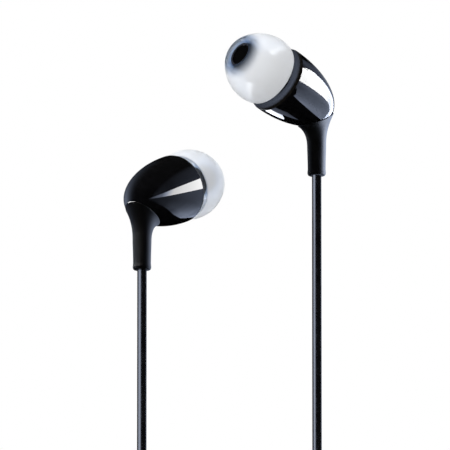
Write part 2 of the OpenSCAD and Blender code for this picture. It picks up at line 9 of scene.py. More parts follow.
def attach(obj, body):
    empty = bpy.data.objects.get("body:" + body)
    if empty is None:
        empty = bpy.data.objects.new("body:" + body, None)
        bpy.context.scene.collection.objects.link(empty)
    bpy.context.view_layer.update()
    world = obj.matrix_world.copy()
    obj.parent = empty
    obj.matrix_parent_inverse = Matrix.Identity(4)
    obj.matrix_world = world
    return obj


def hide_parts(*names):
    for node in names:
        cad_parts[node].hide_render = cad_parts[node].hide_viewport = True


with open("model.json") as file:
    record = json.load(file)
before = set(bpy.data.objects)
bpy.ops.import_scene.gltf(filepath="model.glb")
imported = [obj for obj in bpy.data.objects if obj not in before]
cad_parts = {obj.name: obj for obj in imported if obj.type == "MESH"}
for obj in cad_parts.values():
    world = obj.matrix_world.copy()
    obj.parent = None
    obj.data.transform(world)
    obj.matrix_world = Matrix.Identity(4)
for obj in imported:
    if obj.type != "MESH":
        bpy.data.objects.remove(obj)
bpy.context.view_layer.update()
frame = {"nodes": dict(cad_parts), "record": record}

MM = 0.001
UP = Vector((0, 0, 1))
SIDES = ("left", "right")

# ---- Sizes of the forms that are modelled here, in millimetres, as the CAD parts have them ----

HOUSING_R = 6.2          # widest radius of the egg-shaped housing
HOUSING_TAIL = 13.1      # from the widest place to the rear end
HOUSING_WAIST = 0.8      # from the front rim to the widest place
SHELL_WALL = 0.9
BAND_DEPTH = 0.5         # side of the front cover that shows behind the rim
BAND_TAPER = 0.06
BAND_ROUND = 0.3
EDGE_BREAK = 0.04        # slight break on the edges where shell and cover meet
LAND_W = 0.35            # flat land on the front cover
STEP_DEPTH = 0.15        # step inside the land
STEP_W = 0.3
STEP_TOP_ROUND = 0.05
STEP_FOOT_ROUND = 0.03
DISH_DEPTH = 0.5         # dished front face where it meets the neck
DISH_PULL = 0.5          # reach of the handles that shape the dish
DISH_DIP = 0.2
COVER_PLATE = 1.1
LIP_REACH = 1.6          # front cover's lip inside the shell
LIP_WALL = 0.45
NECK_R = 3.15
NECK_LEN = 4.9
NECK_FILLET = 0.3        # between the dish and the neck
END_ROUND = 0.15         # at the ends of neck, nozzle and ear tip's core
NOZZLE_R = 2.5
BEAD_H = 0.25            # bead that grips the ear tip
BEAD_LEN = 1.4
BEAD_BACK = 0.6
BEAD_SLOPE = 0.4
SOUND_R = 1.7
MESH_SEAT = 0.5
MESH_MARGIN = 0.25       # from the sound opening to the mesh's edge
SKIRT_R = 5.95           # ear tip's open edge
TIP_BULGE = 1.1
TIP_SHOULDER = 0.5
SKIRT_GAP = 1.4
TIP_LEN = 8.45
OUTER_PULLS = (0.38, 0.78)  # handles of the skirt's curves, as shares of the tip's length
INNER_PULLS = (0.36, 0.72)
LIP_R = 3.2              # edge of the ear tip's flat front
LIP_DROP = 0.1
LIP_EDGE_ROUND = 0.33
LIP_EDGE_IN = 0.25
LIP_ROUND = 0.5          # at the ear tip's opening
TIP_BORE_R = 2.25
SKIRT_WALL = 0.45
CORE_WALL = 0.6
CORE_FILLET = 0.5        # between the core and the dome
DOME_DEPTH = 1.5
CLEAR_AND_SHADE_INSIDE = 0.7       # how clear the ear tip's silicone looks from inside, and how far it is tinted blue-grey there as painted shade
CLEAR_AND_SHADE_R = 4.8            # radius within which it clears and turns blue-grey towards the opening, a painted shade of the nozzle behind
CLEAR_AND_SHADE_FADE = 2
NOZZLE_REACH = 9.2       # from the front rim to the nozzle's outlet
STEM_BACK = 10.1         # cord's axis behind the front rim
STEM_DROP = 16.4         # boot's foot below the front rim's centre
STEM_R = 1.6
STEM_TOP_R = 1.7
STEM_LEN = 5
FOOT_HOLE_R = 0.86       # round the cord at the boot's foot
FOOT_R = 1.35            # flat of the foot, below its bead
FOOT_BEAD_R = 1.66
FOOT_BEAD_H = 0.5
FOOT_H = 1.2             # height at which the stem has its own radius
STEM_SWELL = 1.3         # power that keeps the swell above it slight at first
FLARE_R = 3.75           # half length and half width of the flare's oval edge
FLARE_SIDE = 2.7
FLARE_LEAN = math.radians(29)
FLARE_SHIFT = 0.4
FLARE_RISE = 1.05
FLARE_PROUD = 0.2
FLARE_LIP = 0.2          # rounding of the flare's edge
FLARE_GROWTH = 2.5       # power that keeps the flare narrow until near its edge
BOOT_NECK_R = 1.3
BOOT_NECK_IN = 1.4
NOZZLE_RISE = math.radians(20.5)
ARM_D = 1.7              # diameters of the earphones' cords and of the plug's
MAIN_D = 2.0
FIT = 0.05               # gap between pieces that fit into each other

# ---- Places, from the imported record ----

mounts = {m["name"]: m for m in frame["record"]["mounts"]}


class Place:
    """Where one earphone stands: its front rim's centre, its directions and its boot's foot."""

    def __init__(self, side):
        seat = mounts[f"{side}_ear_seat"]
        self.out = Vector(seat["axis"]).normalized()
        self.rim = Vector(seat["pos_m"]) - self.out * NOZZLE_REACH * MM
        self.level = Vector((self.out.x, self.out.y, 0)).normalized()
        self.side = UP.cross(self.level)
        self.foot = self.rim - (self.level * STEM_BACK + UP * STEM_DROP) * MM

    def from_foot(self, p):
        """A point given in millimetres in front of, beside and above the boot's foot."""
        return self.foot + (self.level * p[0] + self.side * p[1] + UP * p[2]) * MM


places = {side: Place(side) for side in SIDES}
left_foot = places["left"].foot
right_foot = places["right"].foot


# ---- Camera: a long lens that looks slightly up ----

LENS = 937.5             # in millimetres, on the usual 36 mm sensor
CAMERA_DISTANCE = 2.1    # in metres, as the clip distances
CLIP_NEAR = 0.05
CLIP_FAR = 20
CAMERA_RISE = math.radians(10.9)
LOOK_AT = left_foot + Vector((14.864, 0, 8.2)) * MM


def add_object(name, data):
    obj = bpy.data.objects.new(name, data)
    bpy.context.scene.collection.objects.link(obj)
    return obj


def point_at(obj, forward):
    obj.rotation_mode = "QUATERNION"
    obj.rotation_quaternion = forward.to_track_quat("-Z", "Y")


def make_camera():
    data = bpy.data.cameras.new("camera")
    data.lens = LENS
    data.clip_start = CLIP_NEAR
    data.clip_end = CLIP_FAR
    camera = add_object("camera", data)
    forward = Vector((0, math.cos(CAMERA_RISE), math.sin(CAMERA_RISE)))
    camera.location = LOOK_AT - forward * CAMERA_DISTANCE
    point_at(camera, forward)
    bpy.context.scene.camera = camera


# ---- Cords: the routes that the CAD tubes follow, in millimetres from a boot's foot ----

LEFT_ROUTE = [
    (0, 0, 0), (0, 0, -3), (0, 0, -6), (0, 0, -9), (0, 0, -12), (0, 0, -15), (0, 0, -18),
    (0, 0, -21), (0, 0, -24), (0, 0, -27), (0, 0, -30), (0, 0, -33), (0, -0.1, -35),
    (0.3, -0.2, -37), (1.1, -0.4, -38.8), (2.3, -0.8, -40.5), (4, -1.1, -41.7),
    (5.9, -1.5, -42.5), (8, -1.7, -42.8),
]
RIGHT_ROUTE = [
    (0, 0, 0), (0, 0, -4.4), (0, 0, -8.4), (0, 0, -12.4), (0, 0, -16.4), (0, 0, -20.4),
    (0, 0, -25.4), (0, 0, -30.4), (0, 0, -35.4), (0, 0, -40.4), (0, 0, -45.4), (0, 0, -50.4),
    (0, 0, -55.4), (0, 0, -60.4), (0, 0, -65.4), (0, 0, -69.4),
]
LEFT_END_ROUTE = [
    (25.8, -1.7, -53), (25.3, -1.7, -54.7), (24.2, -1.7, -56.2), (22.4, -1.8, -57.2),
    (20.1, -1.8, -57.5), (17.5, -1.8, -57.5), (14.1, -1.8, -57.5),
]
RIGHT_END_ROUTE = [
    (25.8, 0, -53), (25.3, 0, -54.7), (24.2, 0, -56.2), (22.4, 0.1, -57.2),
    (20.1, 0.1, -57.5), (17.5, 0.1, -57.5), (14.1, 0.1, -57.5),
]
MAIN_START_ROUTE = [
    (2.2, -0.8, -57.5), (-1, -0.8, -57.5), (-4, -0.5, -57.5), (-7, 0, -57.5),
    (-9.9, 0.5, -57.5), (-12, 0.9, -57), (-13.8, 1.3, -55.7), (-14.7, 1.7, -53.8),
    (-14.6, 1.9, -51.8), (-13.6, 1.9, -49.6), (-11.9, 1.9, -48.2), (-9.9, 1.9, -47.6),
]
MAIN_END_ROUTE = [
    (31.3, 6.1, -55.5), (31.3, 6.1, -59), (31.3, 6.1, -62.5), (31.3, 6.1, -66),
    (31.3, 6.1, -70), (31.3, 6.1, -74),
]

# The hank's turns are ovals in upright planes, given from the left boot's foot
HANK_RUN = 30
HANK_RIGHT = 20.1
HANK_Z = -54
WIND_OUTER = 11.2        # radius of the outermost turn's ends
WIND_INNER = 5.85        # radius at which the earphone cords' turns end
MAIN_INNER = 6.4         # radius of the plug cord's innermost turns
STEPS_PER_PHASE = 8
ARM_COLUMNS = {"left": -1.7, "right": 0}  # depth of each cord's turns
MAIN_COLUMNS = (1.9, 4.0, 6.1)
LEFT_PHASE_END = 16.42   # phases at which the turns start and end, 4 to a turn
RIGHT_PHASES = (0.48, 12.42)
MAIN_PHASES = (3, 11, 19, 28.5)
ARM_LENGTH = 0.425       # whole length of each cord, in metres
MAIN_LENGTH = 0.785


def oval_point(phase, r, y):
    """A point of the winding: one turn is 4 phases, over the right end, bottom, left end and top."""
    part, t = int(phase // 1) % 4, phase % 1
    left = HANK_RIGHT - HANK_RUN
    if part == 0:
        a = math.radians(90 - 180 * t)
        return (HANK_RIGHT + r * math.cos(a), y, HANK_Z + r * math.sin(a))
    if part == 1:
        return (HANK_RIGHT - HANK_RUN * t, y, HANK_Z - r)
    if part == 2:
        a = math.radians(270 - 180 * t)
        return (left + r * math.cos(a), y, HANK_Z + r * math.sin(a))
    return (left + HANK_RUN * t, y, HANK_Z + r)


def ease(t):
    t = min(max(t, 0), 1)
    return t * t * (3 - 2 * t)


def winding(start, end, r_start, r_end, y_start, y_end):
    """Points of a winding from one phase to another, which changes its column over the last phase."""
    count = round((end - start) * STEPS_PER_PHASE)
    points = []
    for i in range(1, count):
        phase = start + (end - start) * i / count
        y = y_start + (y_end - y_start) * ease(phase - end + 1)
        points.append(oval_point(phase, r_start + (r_end - r_start) * i / count, y))
    return points


def from_left(points):
    return [left_foot + Vector(p) * MM for p in points]


def left_cord_points():
    start = 3 + (LEFT_ROUTE[-1][0] - HANK_RIGHT + HANK_RUN) / HANK_RUN
    depth = ARM_COLUMNS["left"]
    turns = winding(start, LEFT_PHASE_END, WIND_OUTER, WIND_INNER, depth, depth)
    return from_left(LEFT_ROUTE + turns + LEFT_END_ROUTE)


def right_cord_points():
    hanging = [right_foot + Vector(p) * MM for p in RIGHT_ROUTE]
    depth = ARM_COLUMNS["right"]
    turns = winding(*RIGHT_PHASES, WIND_OUTER, WIND_INNER, depth, depth)
    return hanging + from_left(turns + RIGHT_END_ROUTE)


def main_cord_points():
    """The plug cord's turns grow, shrink and grow again, each time one column further back."""
    front, middle, back = MAIN_COLUMNS
    first, second, third, last = MAIN_PHASES
    out = winding(first, second, MAIN_INNER, WIND_OUTER, front, middle)
    inward = winding(second, third, WIND_OUTER, MAIN_INNER, middle, back)
    out_again = winding(third, last, MAIN_INNER, WIND_OUTER, back, back)
    return from_left(MAIN_START_ROUTE + out + inward + out_again + MAIN_END_ROUTE)


def smooth_path(points, steps=5):
    """A smooth line through a route's points, with some steps between each two of them."""
    spans = [(b - a).length for a, b in zip(points, points[1:])]
    rates = [(b - a) / d for a, b, d in zip(points, points[1:], spans)]
    slopes = [rates[0]]
    for i in range(1, len(rates)):
        before, after = spans[i - 1], spans[i]
        slopes.append((rates[i - 1] * after + rates[i] * before) / (before + after))
    slopes.append(rates[-1])
    path = [points[0]]
    for i, d in enumerate(spans):
        for k in range(1, steps + 1):
            t = k / steps
            bend = points[i].lerp(points[i + 1], ease(t))
            lean = slopes[i] * (t ** 3 - 2 * t ** 2 + t) + slopes[i + 1] * (t ** 3 - t ** 2)
            path.append(bend + lean * d)
    return path


def mesh_object(name, mesh, sharp=40):
    data = bpy.data.meshes.new(name)
    mesh.to_mesh(data)
    mesh.free()
    data.shade_smooth()
    data.set_sharp_from_angle(angle=math.radians(sharp))
    return add_object(name, data)


def skin(mesh, rings):
    """Joins rings that have the same number of corners, and closes the two ends."""
    for a, b in zip(rings, rings[1:]):
        for i in range(len(a)):
            j = (i + 1) % len(a)
            mesh.faces.new((a[i], a[j], b[j], b[i]))
    mesh.faces.new(rings[0][::-1])
    mesh.faces.new(rings[-1])
    bmesh.ops.recalc_face_normals(mesh, faces=mesh.faces)


def make_cord(name, path, diameter, sides=16):
    """A round cord along a path. Its rings keep their turn from one point to the next."""
    mesh = bmesh.new()
    rings = []
    across = Vector((1, 0, 0))
    for i, p in enumerate(path):
        along = (path[min(i + 1, len(path) - 1)] - path[max(i - 1, 0)]).normalized()
        across = (across - along * across.dot(along)).normalized()
        beside = along.cross(across)
        ring = []
        for k in range(sides):
            a = 2 * math.pi * k / sides
            outward = across * math.cos(a) + beside * math.sin(a)
            ring.append(mesh.verts.new(p + outward * diameter * MM / 2))
        rings.append(ring)
    skin(mesh, rings)
    return mesh_object(name, mesh)


def make_cords():
    plug = ["plug_relief", "plug_grip", "plug_sleeve", "plug_ring_insulator", "plug_ring",
            "plug_tip_insulator", "plug_tip"]
    cords = []
    for name, points, diameter, length, node, far_end, riders in (
        ("cord_left_earphone", left_cord_points(), ARM_D, ARM_LENGTH, "left_cord", "fitting",
         ["splitter_body", "splitter_relief"]),
        ("cord_right_earphone", right_cord_points(), ARM_D, ARM_LENGTH, "right_cord", "fitting",
         ["splitter_body"]),
        ("cord_to_plug", main_cord_points(), MAIN_D, MAIN_LENGTH, "main_cord", "plug",
         plug + ["hank_tie"]),
    ):
        path = smooth_path(points)
        cord = make_cord(name, path, diameter)
        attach(cord, "earphones")
        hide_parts(node, "cord_hank")
        cords.append(cord)
    return cords


make_camera()
cords = make_cords()


# ---- Materials ----

class Nodes:
    """The node tree of a material or world, with short ways to add and join nodes."""

    def __init__(self, owner):
        owner.use_nodes = True
        self.tree = owner.node_tree

    def add(self, kind, **settings):
        node = self.tree.nodes.new("ShaderNode" + kind)
        for key, value in settings.items():
            setattr(node, key, value)
        return node

    def join(self, output, socket):
        self.tree.links.new(output, socket)

    def math(self, operation, a, b):
        node = self.add("Math", operation=operation)
        for socket, value in zip(node.inputs, (a, b)):
            if isinstance(value, (int, float)):
                socket.default_value = value
            else:
                self.join(value, socket)
        return node.outputs[0]

    def ramp(self, value, *stops):
        """Maps a value onto two or more colours or greys, each given with its position."""
        node = self.add("ValToRGB")
        elements = node.color_ramp.elements
        for position, _ in stops[1:-1]:
            elements.new(position)
        for element, (position, tone) in zip(elements, stops):
            element.position = position
            element.color = (*tone, 1) if isinstance(tone, tuple) else (tone, tone, tone, 1)
        self.join(value, node.inputs["Fac"])
        return node.outputs["Color"]


class Surface(Nodes):
    """A material with the usual shader."""

    def __init__(self, name):
        self.material = bpy.data.materials.new(name)
        super().__init__(self.material)
        self.shader = self.tree.nodes["Principled BSDF"]

    def place(self):
        return self.add("TexCoord").outputs["Object"]

    def noise(self, scale, detail=3.0, rough=0.5):
        node = self.add("TexNoise")
        node.inputs["Scale"].default_value = scale
        node.inputs["Detail"].default_value = detail
        node.inputs["Roughness"].default_value = rough
        self.join(self.place(), node.inputs["Vector"])
        return node.outputs["Fac"]

    def blend(self, value, low, high, position=(0.35, 0.65)):
        """Maps a value onto two colours or greys."""
        return self.ramp(value, (position[0], low), (position[1], high))

    def bump(self, height, distance, strength=1.0):
        node = self.add("Bump")
        node.inputs["Distance"].default_value = distance
        node.inputs["Strength"].default_value = strength
        self.join(height, node.inputs["Height"])
        return node.outputs["Normal"]

    def set(self, **values):
        for key, value in values.items():
            self.shader.inputs[key.replace("_", " ")].default_value = value

    def paint(self, **links):
        for key, output in links.items():
            self.join(output, self.shader.inputs[key.replace("_", " ")])


def polished_black():
    """Piano-black moulding with a hard gloss and the faintest handling haze."""
    m = Surface("polished_black")
    haze = m.noise(900, 4, 0.6)
    m.paint(Base_Color=m.blend(haze, (0.001, 0.001, 0.0012), (0.002, 0.002, 0.0024)))
    m.paint(Roughness=m.blend(haze, 0.02, 0.045))
    m.set(IOR=1.5)
    return m.material


def satin_cover():
    """Front cover: a little less glossy than the shell, with a brownish tinge."""
    m = Surface("satin_cover")
    haze = m.noise(1500, 3, 0.5)
    m.paint(Base_Color=m.blend(haze, (0.004, 0.0035, 0.003), (0.007, 0.006, 0.005)))
    m.paint(Roughness=m.blend(haze, 0.14, 0.2))
    m.set(IOR=1.5)
    return m.material


def soft_rubber(name="soft_rubber", tone=0.001, rough=(0.3, 0.38), grain=0.00002):
    """Matte soft-touch rubber with a fine moulded grain."""
    m = Surface(name)
    grains = m.noise(9000, 2, 0.5)
    cloud = m.noise(500, 3, 0.5)
    m.paint(Base_Color=m.blend(cloud, (tone, tone, tone * 1.1), (tone * 1.6, tone * 1.6, tone * 1.8)))
    m.paint(Roughness=m.blend(cloud, *rough))
    m.paint(Normal=m.bump(grains, grain, 0.5))
    m.set(IOR=1.45)
    return m.material


def glossy_cord():
    """Black cord jacket, smooth and glossy with a slight unevenness."""
    m = Surface("glossy_cord")
    wave = m.noise(300, 2, 0.5)
    m.paint(Base_Color=m.blend(wave, (0.002, 0.002, 0.0024), (0.004, 0.004, 0.0045)))
    m.paint(Roughness=m.blend(wave, 0.2, 0.28))
    m.paint(Normal=m.bump(wave, 0.00003, 0.3))
    m.set(IOR=1.5)
    return m.material


def silicone():
    """Milky silicone, clearer round the opening and on its inside, where the nozzle shows through it;
    there its colour also turns blue-grey, a painted shade of the dark nozzle seen through the silicone.
    """
    m = Surface("milky_silicone")
    cloud = m.noise(350, 3, 0.5)
    m.paint(Roughness=m.blend(cloud, 0.42, 0.52))
    clear = m.add("Attribute", attribute_name="clear").outputs["Fac"]
    # Painted shade: where the clear attribute is high, the base colour turns blue-grey for the dark
    # nozzle behind, while the transmission rises for real
    m.paint(Base_Color=m.blend(clear, (0.965, 0.98, 1), (0.64, 0.75, 0.92), (0, 1)))
    m.paint(Transmission_Weight=m.blend(clear, 0.45, 1, (0, 1)))
    m.set(IOR=1.07)
    return m.material


def plated(name, low, high, rough=(0.12, 0.2)):
    """Plated metal with fine turning marks."""
    m = Surface(name)
    marks = m.noise(2500, 3, 0.6)
    m.paint(Base_Color=m.blend(marks, low, high))
    m.paint(Roughness=m.blend(marks, *rough))
    m.set(Metallic=1.0)
    return m.material


def moulded(name, low, high, rough=(0.3, 0.4), scale=1200):
    """Plain moulded plastic, paper or coating with slight variation."""
    m = Surface(name)
    cloud = m.noise(scale, 3, 0.5)
    m.paint(Base_Color=m.blend(cloud, low, high))
    m.paint(Roughness=m.blend(cloud, *rough))
    m.paint(Normal=m.bump(cloud, 0.00001, 0.3))
    return m.material


def woven_mesh():
    """Fine black acoustic mesh: two crossed waves make the threads and the holes between them."""
    m = Surface("woven_mesh")
    waves = []
    for direction in ("X", "Y"):
        wave = m.add("TexWave", bands_direction=direction)
        wave.inputs["Scale"].default_value = 1600
        m.join(m.place(), wave.inputs["Vector"])
        waves.append(wave.outputs["Fac"])
    threads = m.math("MAXIMUM", *waves)
    m.paint(Base_Color=m.blend(threads, (0.0005, 0.0005, 0.0005), (0.003, 0.003, 0.0033), (0.5, 0.8)))
    m.paint(Roughness=m.blend(threads, 0.8, 0.45))
    m.paint(Normal=m.bump(threads, 0.00004, 0.8))
    return m.material


BLACK = (0.004, 0.004, 0.0045)
SOFT_BLACK = (0.008, 0.008, 0.009)
materials = {
    "housing": polished_black(),
    "front_cover": satin_cover(),
    "mesh": woven_mesh(),
    "silicone": silicone(),
    "boot": soft_rubber(),
    "crimp": plated("crimp_metal", (0.5, 0.5, 0.52), (0.62, 0.62, 0.64), (0.3, 0.4)),
    "wire": moulded("wire_enamel", (0.30, 0.04, 0.03), (0.38, 0.06, 0.04)),
    "board": moulded("board_mask", (0.02, 0.14, 0.05), (0.03, 0.18, 0.07)),
    "driver_frame": moulded("driver_frame_plastic", (0.016, 0.016, 0.018), (0.024, 0.024, 0.026)),
    "steel": plated("plated_steel", (0.45, 0.45, 0.47), (0.55, 0.55, 0.57), (0.25, 0.35)),
    "magnet": plated("nickel", (0.5, 0.5, 0.5), (0.6, 0.6, 0.62), (0.15, 0.25)),
    "coil": plated("enamelled_copper", (0.5, 0.2, 0.08), (0.6, 0.28, 0.12), (0.25, 0.35)),
    "film": moulded("clear_film", (0.55, 0.57, 0.6), (0.65, 0.67, 0.7), (0.1, 0.2)),
    "gasket": moulded("foam", (0.02, 0.02, 0.022), (0.04, 0.04, 0.043), (0.8, 0.9), 4000),
    "cord": glossy_cord(),
    "splitter": moulded("splitter_plastic", BLACK, SOFT_BLACK, (0.22, 0.3)),
    "relief": soft_rubber("relief_rubber", 0.004),
    "tie": soft_rubber("tie_rubber", 0.02, (0.5, 0.65), 0.00004),
    "plug_grip": moulded("grip_plastic", BLACK, SOFT_BLACK, (0.25, 0.35)),
    "contact": plated("gold_plating", (0.75, 0.52, 0.22), (0.85, 0.62, 0.3)),
    "insulator": moulded("insulator_plastic", BLACK, SOFT_BLACK, (0.25, 0.35)),
}


def finish_piece(obj, slot):
    """Gives a piece its material."""
    obj.data.materials.clear()
    obj.data.materials.append(materials[slot])


slots = {s["node"]: s["material_slot"] for s in frame["record"]["subparts"]}
for node, obj in frame["nodes"].items():
    finish_piece(obj, slots[node])
for cord in cords:
    finish_piece(cord, "cord")


def dress(piece, node, body):
    """Lets a modelled piece stand for a CAD node: its body, its slot and its material."""
    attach(piece, body)
    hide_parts(node)
    finish_piece(piece, slots[node])


# ---- Turned forms, modelled about the nozzle's axis ----

def curve(p0, p1, p2, p3, steps):
    """Points of a cubic curve, without its first point."""
    points = []
    for i in range(1, steps + 1):
        t = i / steps
        u = 1 - t
        points.append(tuple(
            u * u * u * a + 3 * u * u * t * b + 3 * u * t * t * c + t * t * t * d
            for a, b, c, d in zip(p0, p1, p2, p3)
        ))
    return points


def arc(centre, r, start, end, steps):
    """Points of an arc about a centre, angles in degrees from the radial direction."""
    points = []
    for i in range(steps + 1):
        a = math.radians(start + (end - start) * i / steps)
        points.append((centre[0] + r * math.cos(a), centre[1] + r * math.sin(a)))
    return points


def turned(name, profile, place, segments=160):
    """A mesh turned from a closed outline of (radius, distance in front of the rim), in millimetres."""
    mesh = bmesh.new()
    rings = []
    for r, s in profile:
        if r == 0:
            rings.append([mesh.verts.new((0, 0, s))])
            continue
        ring = []
        for i in range(segments):
            a = 2 * math.pi * i / segments
            ring.append(mesh.verts.new((r * math.cos(a), r * math.sin(a), s)))
        rings.append(ring)
    for a, b in zip(rings, rings[1:] + rings[:1]):
        for i in range(segments):
            j = (i + 1) % segments
            corners = [a[i % len(a)], a[j % len(a)], b[j % len(b)], b[i % len(b)]]
            face = [v for k, v in enumerate(corners) if v not in corners[:k]]
            if len(face) > 2:
                mesh.faces.new(face)
    bmesh.ops.recalc_face_normals(mesh, faces=mesh.faces)
    turn = place.out.to_track_quat("Z", "Y").to_matrix().to_4x4()
    mesh.transform(Matrix.Translation(place.rim) @ turn @ Matrix.Scale(MM, 4))
    return mesh_object(name, mesh)


def egg(tail, r, steps):
    """The housing's tail, from its widest place to its rear end."""
    points = []
    for i in range(steps):
        a = math.radians(90 * i / steps)
        points.append((r * math.cos(a), -HOUSING_WAIST - tail * math.sin(a)))
    points.append((0, -HOUSING_WAIST - tail))
    return points


def rear_shell_profile():
    inner = egg(HOUSING_TAIL - SHELL_WALL, HOUSING_R - SHELL_WALL, 32)
    edge = -BAND_DEPTH
    return (
        [(HOUSING_R - SHELL_WALL, edge), (HOUSING_R - EDGE_BREAK, edge), (HOUSING_R, edge - EDGE_BREAK)]
        + egg(HOUSING_TAIL, HOUSING_R, 80)
        + inner[::-1]
    )


def front_cover_profile():
    lip_out = HOUSING_R - SHELL_WALL - FIT
    lip_in = lip_out - LIP_WALL
    land_r = HOUSING_R - BAND_TAPER - BAND_ROUND
    step_r = land_r - LAND_W
    dish_r = step_r - STEP_W
    fillet_r = NECK_R + NECK_FILLET
    mesh_r = SOUND_R + MESH_MARGIN + FIT
    bead_end = NOZZLE_REACH - BEAD_BACK
    bead_start = bead_end - BEAD_LEN
    bead_r = NOZZLE_R + BEAD_H
    seat = NOZZLE_REACH - MESH_SEAT
    lip_end = -BAND_DEPTH - LIP_REACH
    band = [
        (lip_out, -BAND_DEPTH), (HOUSING_R - EDGE_BREAK, -BAND_DEPTH),
        (HOUSING_R, EDGE_BREAK - BAND_DEPTH),
        *arc((land_r, -BAND_ROUND), BAND_ROUND, 0, 90, 10),
    ]
    step = [
        *arc((step_r + STEP_TOP_ROUND, -STEP_TOP_ROUND), STEP_TOP_ROUND, 90, 180, 4),
        *arc((step_r - STEP_FOOT_ROUND, STEP_FOOT_ROUND - STEP_DEPTH), STEP_FOOT_ROUND, 0, -90, 3),
    ]
    dish = [
        (dish_r, -STEP_DEPTH),
        *curve((dish_r, -STEP_DEPTH), (dish_r - DISH_PULL, -STEP_DEPTH - DISH_DIP),
               (fillet_r + DISH_PULL, -DISH_DEPTH), (fillet_r, -DISH_DEPTH), 14),
        *arc((fillet_r, NECK_FILLET - DISH_DEPTH), NECK_FILLET, 270, 180, 6)[1:],
    ]
    nozzle = [
        *arc((NECK_R - END_ROUND, NECK_LEN - END_ROUND), END_ROUND, 0, 90, 5),
        (NOZZLE_R, NECK_LEN), (NOZZLE_R, bead_start),
        *curve((NOZZLE_R, bead_start), (bead_r, bead_start), (bead_r, bead_end - BEAD_SLOPE),
               (NOZZLE_R, bead_end), 14),
        *arc((NOZZLE_R - END_ROUND, NOZZLE_REACH - END_ROUND), END_ROUND, 0, 90, 5),
    ]
    inside = [
        (mesh_r, NOZZLE_REACH), (mesh_r, seat), (SOUND_R, seat), (SOUND_R, -COVER_PLATE),
        (lip_in, -COVER_PLATE), (lip_in, lip_end), (lip_out, lip_end),
    ]
    return band + step + dish + nozzle + inside


def ear_tip_profile():
    front = SKIRT_GAP + TIP_LEN
    core_in = NOZZLE_R + BEAD_H + FIT
    core_out = core_in + CORE_WALL
    core_start = NECK_LEN + FIT
    core_end = NOZZLE_REACH + FIT
    inner_r = SKIRT_R - SKIRT_WALL
    dome = front - DOME_DEPTH
    outer = curve(
        (SKIRT_R, SKIRT_GAP),
        (SKIRT_R + TIP_BULGE, SKIRT_GAP + TIP_LEN * OUTER_PULLS[0]),
        (SKIRT_R - TIP_SHOULDER, SKIRT_GAP + TIP_LEN * OUTER_PULLS[1]),
        (LIP_R, front - LIP_DROP), 48,
    )
    inner = curve(
        (inner_r, SKIRT_GAP),
        (inner_r + TIP_BULGE, SKIRT_GAP + TIP_LEN * INNER_PULLS[0]),
        (inner_r - TIP_SHOULDER, SKIRT_GAP + TIP_LEN * INNER_PULLS[1]),
        (core_out + CORE_FILLET, dome), 36,
    )
    edge = arc((SKIRT_R - SKIRT_WALL / 2, SKIRT_GAP + SKIRT_WALL / 2), SKIRT_WALL / 2, 180, 360, 8)
    lip = arc((LIP_R - LIP_EDGE_IN, front - LIP_EDGE_ROUND), LIP_EDGE_ROUND, 45, 90, 3)
    opening = arc((TIP_BORE_R + LIP_ROUND, front - LIP_ROUND), LIP_ROUND, 90, 180, 8)
    core = [
        (TIP_BORE_R, core_end), (core_in, core_end), (core_in, core_start),
        *arc((core_out - END_ROUND, core_start + END_ROUND), END_ROUND, 270, 360, 4),
        (core_out, dome - 2 * CORE_FILLET),
        *arc((core_out + CORE_FILLET, dome - CORE_FILLET), CORE_FILLET, 180, 90, 4)[1:-1],
    ]
    return edge + outer[2:-1] + lip + opening + core + inner[2:][::-1]


def make_turned_parts(side):
    place = places[side]
    dress(turned(f"{side}_shell", rear_shell_profile(), place), f"{side}_rear_shell", "earphones")
    dress(turned(f"{side}_cover", front_cover_profile(), place), f"{side}_front_cover", "earphones")
    tip = turned(f"{side}_silicone_tip", ear_tip_profile(), place)
    # The clear attribute drives real clarity and painted shade: near the axis and on the inside it tints
    # the silicone blue-grey for the dark nozzle seen through it
    clear = tip.data.attributes.new("clear", "FLOAT", "POINT")
    for i, vertex in enumerate(tip.data.vertices):
        offset = vertex.co - place.rim
        radial = offset - offset.dot(place.out) * place.out
        inside = CLEAR_AND_SHADE_INSIDE if vertex.normal.dot(radial) < 0 else 0
        clear.data[i].value = max(inside, ease((CLEAR_AND_SHADE_R - radial.length / MM) / CLEAR_AND_SHADE_FADE))
    dress(tip, f"{side}_ear_tip", f"{side}_tip")


# ---- Cord boots: a loft from the round foot to an oval, flared edge that follows the housing ----

# The egg's axis and centre, in millimetres in front of, beside and above the boot's foot
AXIS = Vector((math.cos(NOZZLE_RISE), 0, math.sin(NOZZLE_RISE)))
EGG_CENTRE = Vector((STEM_BACK, 0, STEM_DROP)) - HOUSING_WAIST * AXIS


def underside():
    """Height of the egg's underside on the stem's axis, above the boot's foot."""
    a, b = AXIS.x, AXIS.z
    back = -EGG_CENTRE.x
    tail2, r2 = HOUSING_TAIL ** 2, HOUSING_R ** 2
    qa = b * b / tail2 + a * a / r2
    qb = 2 * a * b * back * (1 / tail2 - 1 / r2)
    qc = (a * back) ** 2 / tail2 + (b * back) ** 2 / r2 - 1
    return EGG_CENTRE.z - (qb + math.sqrt(qb * qb - 4 * qa * qc)) / (2 * qa)


FLARE_Z = underside() + FLARE_RISE


def off_housing(p, proud):
    """Moves a point straight out from the egg's centre until it stands off the egg by that much."""
    q = p - EGG_CENTRE
    s = q.dot(AXIS)
    deep = math.hypot(s / (HOUSING_TAIL + proud), (q - s * AXIS).length / (HOUSING_R + proud))
    return EGG_CENTRE + q / deep


def boot_point(x, z, lean, r, side_r, a):
    return Vector((x + r * math.cos(a) * math.cos(lean), side_r * math.sin(a),
                   z - r * math.cos(a) * math.sin(lean)))


def flare_edge(a):
    return boot_point(FLARE_SHIFT, FLARE_Z, FLARE_LEAN, FLARE_R, FLARE_SIDE, a)


def stem_point(z, r, a):
    return boot_point(0, z, 0, r, r, a)


